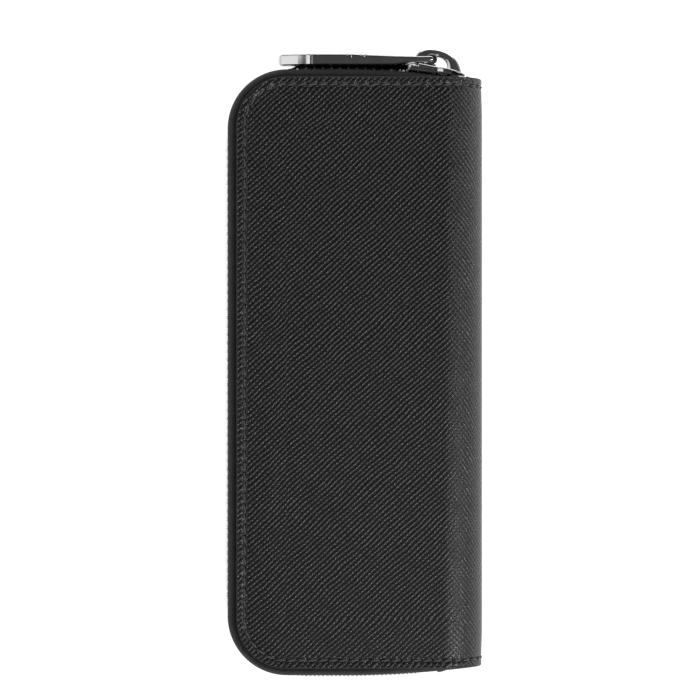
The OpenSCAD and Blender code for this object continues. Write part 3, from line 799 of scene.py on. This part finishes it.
def make_bottom_clip():
    """The clip at the chain's lower end: a plate on each side of the tapes, and a web between."""
    runs = chain_runs(teeth_top_x, teeth_bottom_x + clip_gap)
    spot, out = on_chain(runs, sum(length for length, _ in runs))
    along = np.array([-out[1], out[0]])
    inner, outer = board_t / 2 + 0.12, 0.8
    part = Parts()
    for low, high, tall in ((-outer, -inner, 2.2), (inner, outer, 2.2), (-outer, outer, 0.9)):
        rings = []
        for w, shrink in ((-1.15, 0.12), (-1.11, 0.04), (-1.0, 0), (1.0, 0), (1.11, 0.04), (1.15, 0.12)):
            lowest, highest = (low + shrink, mid_z - tall + shrink), (high - shrink, mid_z + tall - shrink)
            ring = rounded_rect(lowest, highest, 0.08)
            rings.append([(*(spot + o * out + w * along), z) for o, z in ring])
        part.tube(rings)
    obj = part.make("bottom_clip", [tooth_metal], 30)
    fix_normals(obj)
    settle(obj, "back_cover", "bottom_stop")


# ---- Slider ----

slider_y = half_len + chain_bulge - dive_r_top * (1 - math.cos(slider_tilt))
channel_out, plate_t = 1.4, 0.9
plate_top = channel_out + plate_t
nose = 8.0
bridge_half = 0.9


def from_slider(points):
    """Takes (along to the nose, outward, across) to the case's own axes."""
    u, v, w = np.asarray(points, float).T
    c, s = math.cos(slider_tilt), math.sin(slider_tilt)
    return np.stack([slider_x + u * c + v * s, slider_y - u * s + v * c, mid_z + w], -1)


def half_width(u):
    """Half the width of the slider's plates along its length."""
    return np.interp(u, [-nose, -7.2, -2, 3, 5.5, 7.2, nose], [3.5, 4.35, 4.4, 5.5, 5.5, 4.6, 3.1])


def along_slider(rings):
    """Takes rings of (across, outward) at places along the slider to points for from_slider."""
    return [[(u, v, x) for x, v in ring] for u, ring in rings]


def stations(first, last, count):
    """Places along the slider, closer together at both ends so that these can be rounded."""
    middle = np.linspace(first + 0.5, last - 0.5, count)
    return [first, first + 0.1, first + 0.3, *middle, last - 0.3, last - 0.1, last]


def plate_rings(places, low, high, r):
    """Rounded rings across the slider; the first and last shrink so that the ends are rounded too."""
    rings = []
    for i, u in enumerate(places):
        end = min(i, len(places) - 1 - i)
        shrink = (0.3, 0.12, 0.0)[min(end, 2)]
        w = half_width(u) - shrink
        rings.append((u, rounded_rect((-w, low(u) + shrink), (w, high(u) - shrink), r, 4)))
    return along_slider(rings)


def make_slider():
    part = Parts()
    # the tail is one step lower than the crown of the plate
    tail_top = lambda u: np.interp(u, [-nose, -6], [2.4, 2.2])
    crown = ((-5.1, 2.95), (-2, 2.67), (0.3, 2.47), (3, 2.4), (5.2, 2.0), (6.4, 1.75), (nose, 1.55))
    crown_top = lambda u: np.interp(u, *zip(*crown))
    upper_under = lambda u: np.interp(u, [5, nose], [1.3, 1.12])
    lower_under = lambda u: np.interp(u, [4, nose], [-2.8, -3.0])
    lower_top = lambda u: np.interp(u, [4, nose], [-1.9, -2.35])
    for first, last, count, low, high, r in (
        (-nose, -4.2, 6, upper_under, tail_top, 0.3),
        (-5.1, nose, 28, upper_under, crown_top, 0.36),
        (-nose, nose, 20, lower_under, lower_top, 0.3),
    ):
        part.tube(plate_rings(stations(first, last, count), low, high, r), from_slider)
    for side in (-1, 1):
        # side walls, which turn in over the tape and leave a slit for it
        for low, high in ((0.62, 1.75), (-2.3, -1.3)):
            rings = []
            for u in stations(-7.7, 4.3, 16):
                outer = half_width(u) - 0.02
                inner, outer = sorted((side * (outer - 1.0), side * outer))
                rings.append((u, rounded_rect((inner, low), (outer, high), 0.22)))
            part.tube(along_slider(rings), from_slider)
        # a wedge that is pressed out of the side to grip the bridge's front leg
        rings = []
        for u, proud in ((0.3, -0.2), (0.36, 0.0), (1.0, 0.3), (1.75, 0.66), (1.9, 0.6), (1.95, 0.4)):
            ring = rounded_rect((0, 1.1), (half_width(1.1) - 0.05 + proud, plate_top), 0.14)
            rings.append((u, [(side * x, v) for x, v in ring]))
        part.tube(along_slider(rings), from_slider, side < 0)
    # post between the plates at the nose, where the two halves part
    post = [(3.2 + 0.9 * k / 4, 1.05 * k / 4) for k in range(5)] + [(6.2, 1.05), (6.6, 0.7)]
    line = post + [(u, -w) for u, w in post[::-1]]
    part.tube([[(u, v, w) for u, w in line] for v in (-1.95, 1.45)], from_slider)
    obj = part.make("slider_plates", [slider_metal], 35)
    fix_normals(obj)
    settle(obj, "slider", "slider_body")


def arch(cx, a, h, lean, left, t):
    """A point of a leaning half ellipse over the slider, t degrees from the nose, where it is squarer."""
    c, s = math.cos(math.radians(t)), math.sin(math.radians(t))
    full = 0.82 if t < 90 else left
    c, s = math.copysign(abs(c) ** full, c), abs(s) ** full
    return np.array([cx + a * c - lean * h * s, plate_top + h * s])


def make_bridge():
    """The crown that holds the puller: a flat band, bevelled finely outside and widely round its hole."""
    rings = []
    for t in np.linspace(0, 180, 97):
        outer, inner = arch(0.5, 6.3, 5.3, 0.33, 0.95, t), arch(0.13, 2.88, 3.1, 0.06, 0.5, t)
        width = np.linalg.norm(inner - outer)
        across = (inner - outer) / width
        # (distance in from the outer edge, how far the face is below the band's highest line)
        outer_bevel = [(0.0, 0.42), (0.03, 0.24), (0.33, 0.04), (0.4, 0.0), (0.48, 0.03)]
        inner_bevel = [(1.12, 0.03), (1.0, 0.0), (0.86, 0.03), (0.2, 0.3), (0.06, 0.4), (0.0, 0.55)]
        face = [(d, bridge_half - drop) for d, drop in outer_bevel]
        face += [(width - d, bridge_half - drop) for d, drop in inner_bevel]
        ring = face + [(d, -h) for d, h in face[::-1]]
        rings.append([(*(outer + across * d), h) for d, h in ring])
    # both feet run on down into the plate
    first_foot, last_foot = ([(u, v - 0.75, w) for u, v, w in rings[end]] for end in (0, -1))
    part = Parts()
    part.tube([first_foot] + rings + [last_foot], from_slider)
    # the rear leg runs on under the puller's eye
    heel = ((-5.0, 0.0), (-4.9, 0.75), (-3.0, 1.0), (-1.3, 1.05), (-0.5, 0.8), (-0.1, 0.35), (0.1, 0.0))
    rings = [(u, rounded_rect((-0.86, 2.0), (0.86, 2.62 + rise), 0.2)) for u, rise in heel]
    part.tube(along_slider(rings), from_slider)
    obj = part.make("slider_crown", [slider_metal], 28)
    fix_normals(obj)
    settle(obj, "slider", "slider_bridge")


# ---- Puller ----

bar_x, bar_y, _ = from_slider([(-1.9, plate_top + 2.35, 0)])[0]
bar_r = 0.52
puller_low = half_len + chain_bulge + 1.45
puller_high = puller_low + 3.1
puller_half_t = 4.0
puller_tip = bar_x - 41.5
cap_x = puller_tip + 8.8
arm_x = bar_x - 7.8
arm_inner = bridge_half + 0.3
eye_r = 1.5


def puller_top(x):
    xs = [puller_tip, puller_tip + 0.35, puller_tip + 1.1, cap_x, -2, arm_x, bar_x - 3]
    drops = [0.7, 0.2, 0.0, 0.0, 0.03, 0.6, 0.72]
    return np.interp(x, xs + [bar_x + 0.3], [puller_high - drop for drop in drops] + [bar_y + 0.55])


def puller_bottom(x):
    thin = smoothstep((x - (bar_x - 11.2)) / 6.0)
    low = puller_low + np.interp(x, [puller_tip, puller_tip + 0.35, puller_tip + 1.1], [0.6, 0.2, 0.0])
    return low + thin * np.interp(x, [arm_x, bar_x - 3, bar_x + 0.3], [0.6, 0.75, bar_y - 0.8 - puller_low])


def puller_half(x):
    """Half width: full along the shank, a fine groove, then a tip that tapers in facets."""
    tip = ((0.0, 0.5), (0.25, 1.1), (0.8, 1.6))
    facets = ((-3.6, 3.07), (-2.2, 3.43), (-0.9, 3.73), (-0.2, 4.02))
    groove = ((-0.05, 3.5), (0.2, 3.5), (0.3, 3.85), (0.5, puller_half_t))
    line = [(puller_tip + d, half) for d, half in tip] + [(cap_x + d, half) for d, half in facets + groove]
    return np.interp(x, *zip(*line))


def shank_places():
    """Places along the puller, closer together where its outline turns."""
    ends = [puller_tip, puller_tip + 1.2, cap_x - 3.9, cap_x - 3.3, cap_x - 0.8, cap_x + 0.6, arm_x + 0.3]
    counts = (8, 10, 4, 6, 15, 40)
    spans = [np.linspace(a, b, count) for a, b, count in zip(ends, ends[1:], counts)]
    return sorted(set(np.round(np.concatenate(spans), 4)))


def circle(x, y, r, z):
    """A ring of points round a place at one height."""
    return [(x + r * math.cos(t), y + r * math.sin(t), z) for t in turn_steps(32)]


def add_arm(part, side):
    """One of the two arms that reach back to the cross bar, with a rounded end."""
    rings = []
    places = [(x, 0.0) for x in np.linspace(arm_x - 1.0, bar_x, 22)]
    places += [(bar_x + 0.25, 0.05), (bar_x + 0.45, 0.18), (bar_x + 0.58, 0.36), (bar_x + 0.62, 0.56)]
    for x, shrink in places:
        low, high = puller_bottom(x) + 0.02 + shrink, puller_top(x) - 0.02 - shrink
        r = min(0.3, 0.42 * (high - low))
        ring = rounded_rect((arm_inner, low), (puller_half_t - 0.015, high), r, 4)
        rings.append([(x, y, mid_z + side * z) for z, y in ring])
    part.tube(rings)


def add_eye(part, side):
    """The eye round the cross bar, set in from the arm's face."""
    rings = []
    outer, edge = puller_half_t - 0.8, 0.22
    rim = ((0.0, edge), (edge * 0.3, edge * 0.3), (edge, 0))
    for z, shrink in [(arm_inner + d, c) for d, c in rim] + [(outer - d, c) for d, c in rim[::-1]]:
        rings.append(circle(bar_x + 0.3, bar_y - 0.35, eye_r - shrink, mid_z + side * z))
    part.tube(rings)


def add_mark(part, side, x):
    """A small half-round mark at the outer edge of a face."""
    rings = []
    for a in np.linspace(math.pi, 2 * math.pi, 13):
        out = np.array([math.cos(a), math.sin(a)])
        spot = np.array([x, puller_high - 0.12]) + 0.72 * out
        section = [(0.15 * math.cos(b), puller_half_t - 0.02 + 0.13 * math.sin(b)) for b in turn_steps(8)]
        rings.append([(*(spot + out * d), mid_z + side * z) for d, z in section])
    part.tube(rings)


def make_puller():
    part = Parts()
    rings = []
    for x in shank_places():
        half = puller_half(x)
        ring = rounded_rect((-half, puller_bottom(x)), (half, puller_top(x)), 0.42, 5)
        rings.append([(x, y, mid_z + z) for z, y in ring])
    part.tube(rings)
    for side in (-1, 1):
        add_arm(part, side)
        add_eye(part, side)
        for before_bar in (22.1, 18.4):
            add_mark(part, side, bar_x - before_bar)
    part.tube([circle(bar_x, bar_y, bar_r, mid_z + z) for z in (-arm_inner - 0.3, arm_inner + 0.3)])
    obj = part.make("zip_puller", [puller_metal], 30)
    fix_normals(obj)
    settle(obj, "puller", "puller")


# ---- Pen panel and sleeves ----

panel_low, panel_high = box_mm("pen_panel")
sleeve_low, sleeve_high = box_mm("left_pen_sleeve")
right_low = box_mm("right_pen_sleeve")[0]
sleeve_t = 0.7
sleeve_hem = 2.0
sleeve_dome = 9.0
sleeve_half = (sleeve_high.x - sleeve_low.x - sleeve_hem) / 2
sleeve_x = {-1: sleeve_high.x - sleeve_half, 1: right_low.x + sleeve_half}
sleeve_y0, sleeve_y1 = sleeve_low.y, sleeve_high.y
sleeve_top = sleeve_high.z
panel_top = panel_high.z


def arch_line(count=40):
    """Middle of a sleeve's wall, from its left foot to its right one, and its outward normals.

    Both are in (across, up from the panel)."""
    r = sleeve_half - sleeve_t / 2
    tall = sleeve_top - panel_top - sleeve_half
    length = 2 * tall + math.pi * r
    points, normals = [], []
    for k in range(count + 1):
        s = length * k / count
        if s < tall:
            p, n = (-r, s), (-1, 0)
        elif s > length - tall:
            p, n = (r, length - s), (1, 0)
        else:
            a = math.pi - (s - tall) / r
            p, n = (r * math.cos(a), tall + r * math.sin(a)), (math.cos(a), math.sin(a))
        points.append(p)
        normals.append(n)
    points = np.array(points)
    # soft leather leans out a little from its sewn feet before it turns over the pen
    up = points[:, 1] / points[:, 1].max()
    points[:, 0] *= 1 - 0.05 * (1 - np.clip(up / 0.35, 0, 1)) ** 2
    return points, np.array(normals)


def sleeve_slack(side, y):
    """How far a sleeve's crest sags at a place along it."""
    return 0.22 * math.sin((y - sleeve_y0) * 0.11 + side) + 0.1 * math.sin(y * 0.31 + 2 * side)


def sleeve_ring(side, y):
    """A closed section of a sleeve at a place along it, with a hem on both sides."""
    points = arch_line()[0]
    end = np.clip((sleeve_y0 + sleeve_dome - y) / sleeve_dome, 0, 1)
    dome = math.sqrt(max(1 - end**2.2, 0.02))
    slack = sleeve_slack(side, y)
    lip = 0.25 * smoothstep((y - sleeve_y1 + 12) / 12)
    x = points[:, 0] * (1 - 0.16 * (1 - dome)) + 0.05 * np.sin(points[:, 1] * 0.9 + y * 0.4)
    z = points[:, 1] * dome
    crest = np.clip(points[:, 1] / points[:, 1].max(), 0, 1) ** 2
    z = z - crest * (0.35 + slack - lip) * dome
    half = sleeve_t / 2
    # (how far out, height) of the hem, which is narrow between the two sleeves
    hem = lambda wide: [(wide, half), (wide / 2, half), (0.35, half + 0.04)]
    left, right = (0.95, sleeve_hem) if side > 0 else (sleeve_hem, 0.95)
    left_foot = [(-sleeve_half - out, up) for out, up in hem(left)]
    right_foot = [(sleeve_half + out, up) for out, up in hem(right)[::-1]]
    keep = z > half + 0.7
    keep[0] = keep[-1] = False
    line = np.array(left_foot + list(zip(x[keep], z[keep])) + right_foot)
    even = line_run(line)
    at = np.linspace(0, even[-1], 64)
    line = np.column_stack([np.interp(at, even, line[:, 0]), np.interp(at, even, line[:, 1])])
    for _ in range(2):
        line[1:-1] = (line[:-2] + 2 * line[1:-1] + line[2:]) / 4
    inward = line_normals(line) * half
    over, under = line - inward, line + inward
    under[:, 1] = np.maximum(under[:, 1], 0.01)
    over[:, 1] = np.maximum(over[:, 1], 0.4)
    ring = np.vstack([over, under[::-1]])
    dev = np.concatenate([at, at[::-1] + 90])
    place = np.column_stack([ring[:, 0] + sleeve_x[side], np.full(len(ring), y), ring[:, 1] + panel_top])
    return place, np.column_stack([dev, np.full(len(ring), y), np.zeros(len(ring))])


def make_sleeve(side):
    part = Parts()
    closed_end = sleeve_y0 + sleeve_dome * (1 - np.cos(np.linspace(0, math.pi / 2, 14)))
    open_run = np.linspace(sleeve_y0 + sleeve_dome + 1, sleeve_y1, 74)
    made = [sleeve_ring(side, y) for y in (*closed_end, *open_run)]
    verts, faces = loft([m[0] for m in made])
    part.add(verts, faces, 0, np.vstack([m[1] for m in made]))
    obj = part.make("left_sleeve" if side < 0 else "right_sleeve", [smooth_leather], 45)
    fix_normals(obj)
    settle(obj, "back_cover", "left_pen_sleeve" if side < 0 else "right_pen_sleeve")


def make_binding():
    """A folded strip round the mouth of each sleeve."""
    part = Parts()
    for side in (-1, 1):
        points, normals = arch_line(48)
        crest = np.clip(points[:, 1] / points[:, 1].max(), 0, 1) ** 2
        points[:, 1] += crest * (0.25 - 0.35 - sleeve_slack(side, sleeve_y1))
        section = rounded_rect((sleeve_y1 - 3.2, -0.66), (sleeve_y1 + 0.3, 0.66), 0.55, 5)
        rings = []
        for (x, z), (out_x, out_z) in zip(points, normals):
            rings.append([(sleeve_x[side] + x + out_x * d, y, panel_top + max(z + out_z * d, 0.02))
                          for y, d in section])
        part.tube(rings)
    obj = part.make("sleeve_mouth_binding", [smooth_leather], 60)
    fix_normals(obj)
    settle(obj, "back_cover", "sleeve_binding")


def make_panel():
    """The leather panel that the sleeves are sewn to, with soft rounded edges."""
    part = Parts()
    lo, hi = panel_low, panel_high
    t = hi.z - lo.z
    rings = []
    for d, z in ((0.3, 0.0), (0.08, 0.1 * t), (0.0, 0.45 * t), (0.08, 0.85 * t), (0.3, t - 0.02), (0.8, t)):
        ring = rounded_rect((lo.x + d, lo.y + d), (hi.x - d, hi.y - d), 4.0, 8)
        rings.append([(x, y, lo.z + z) for x, y in ring])
    part.tube(rings)
    obj = part.make("sleeve_panel", [smooth_leather], 50)
    fix_normals(obj)
    settle(obj, "back_cover", "pen_panel")


def make_hem_stitches():
    part = Parts()
    count = round((sleeve_y1 - sleeve_y0 - 6) / stitch_pitch)
    verts, faces, dev = stitch_template(stitch_pitch - 0.5, 0.24, 0.3)
    z = panel_top + sleeve_t + 0.05
    for side in (-1, 1):
        x = sleeve_x[side] + side * (sleeve_half + sleeve_hem * 0.55)
        for i in range(count):
            y = sleeve_y0 + 3 + (i + 0.5) * stitch_pitch
            placed = np.column_stack([x + verts[:, 1], y - verts[:, 0], z + verts[:, 2]])
            part.add(placed, faces, 0, dev + i)
    obj = part.make("sleeve_hem_stitches", [thread], 60)
    settle(obj, "back_cover", "sleeve_stitching")


# ---- Putting it together ----

for is_front in (True, False):
    make_hide(is_front)
    make_lining(is_front)
    make_spine_board(is_front)
    make_stitching(is_front)
    make_tape(is_front)
    make_teeth(is_front)
make_bottom_clip()
make_slider()
make_bridge()
make_puller()
make_panel()
for sleeve_side in (-1, 1):
    make_sleeve(sleeve_side)
make_binding()
make_hem_stitches()

# pieces that keep the shape the frame gives them
for is_front in (True, False):
    for kept, kept_material in (("board", board), ("top_stop", tooth_metal)):
        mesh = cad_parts[named(is_front, kept)].data
        mesh.materials.clear()
        mesh.materials.append(kept_material)

# ---- Floor, light and camera ----


def make_floor():
    """A pale floor, a tenth of a millimetre under the case."""
    half = 6.0
    corners = [(x * half, y * half, -0.0001) for x, y in ((-1, -1), (1, -1), (1, 1), (-1, 1))]
    mesh = bpy.data.meshes.new("floor")
    mesh.from_pydata(corners, [], [(0, 1, 2, 3)])
    colours = {"Base_Color": (0.3, 0.3, 0.3, 1), "Emission_Color": (1, 1, 1, 1)}
    pale = Shader("floor", Roughness=0.9, IOR=1.2, Emission_Strength=0.95, **colours)
    mesh.materials.append(pale.material)
    floor = bpy.data.objects.new("floor", mesh)
    bpy.context.scene.collection.objects.link(floor)


def make_world():
    """A studio that is bright all round and dark overhead, where the camera hangs."""
    world = bpy.data.worlds.new("studio")
    bpy.context.scene.world = world
    world.use_nodes = True
    tree = world.node_tree
    up = node(tree, "SeparateXYZ", {"Vector": node(tree, "TexCoord").node.outputs["Generated"]})
    up = up.node.outputs["Z"]
    ramp = tree.nodes.new("ShaderNodeValToRGB")
    tree.links.new(up, ramp.inputs["Fac"])
    stops = ((0.0, 0.95), (0.2, 0.5), (0.5, 0.22), (0.8, 0.03), (0.93, 0.02), (0.985, 0.075))
    ramp.color_ramp.interpolation = "EASE"
    while len(ramp.color_ramp.elements) < len(stops):
        ramp.color_ramp.elements.new(0.5)
    for element, (place, level) in zip(ramp.color_ramp.elements, stops):
        element.position = place
        element.color = (level, level, level, 1)
    tree.links.new(ramp.outputs["Color"], tree.nodes["Background"].inputs["Color"])
    tree.nodes["Background"].inputs["Strength"].default_value = 1.0


def area_light(name, place, size, power):
    light = bpy.data.lights.new(name, "AREA")
    light.shape = "RECTANGLE"
    light.size, light.size_y = size
    light.energy = power
    obj = bpy.data.objects.new(name, light)
    obj.location = place
    target = Vector((0, 0, mid_z * MM))
    obj.rotation_euler = (target - Vector(place)).to_track_quat("-Z", "Y").to_euler()
    bpy.context.scene.collection.objects.link(obj)


def make_camera():
    data = bpy.data.cameras.new("camera")
    data.sensor_width = 36
    data.lens = 152.4
    camera = bpy.data.objects.new("camera", data)
    camera.location = (-0.0023, 0.00608, 0.822)
    bpy.context.scene.collection.objects.link(camera)
    bpy.context.scene.camera = camera


make_floor()
make_world()
area_light("key", (0.43, -0.43, 0.68), (0.25, 0.25), 4.9)
area_light("soft_left", (-0.6, 0.05, 0.5), (0.55, 0.55), 1.1)
area_light("soft_right", (0.6, -0.35, 0.62), (0.9, 0.4), 1.8)
area_light("back_strip", (0.1, 0.8, 0.22), (1.0, 0.3), 2.2)
make_camera()
bpy.context.scene.view_settings.view_transform = "Standard"
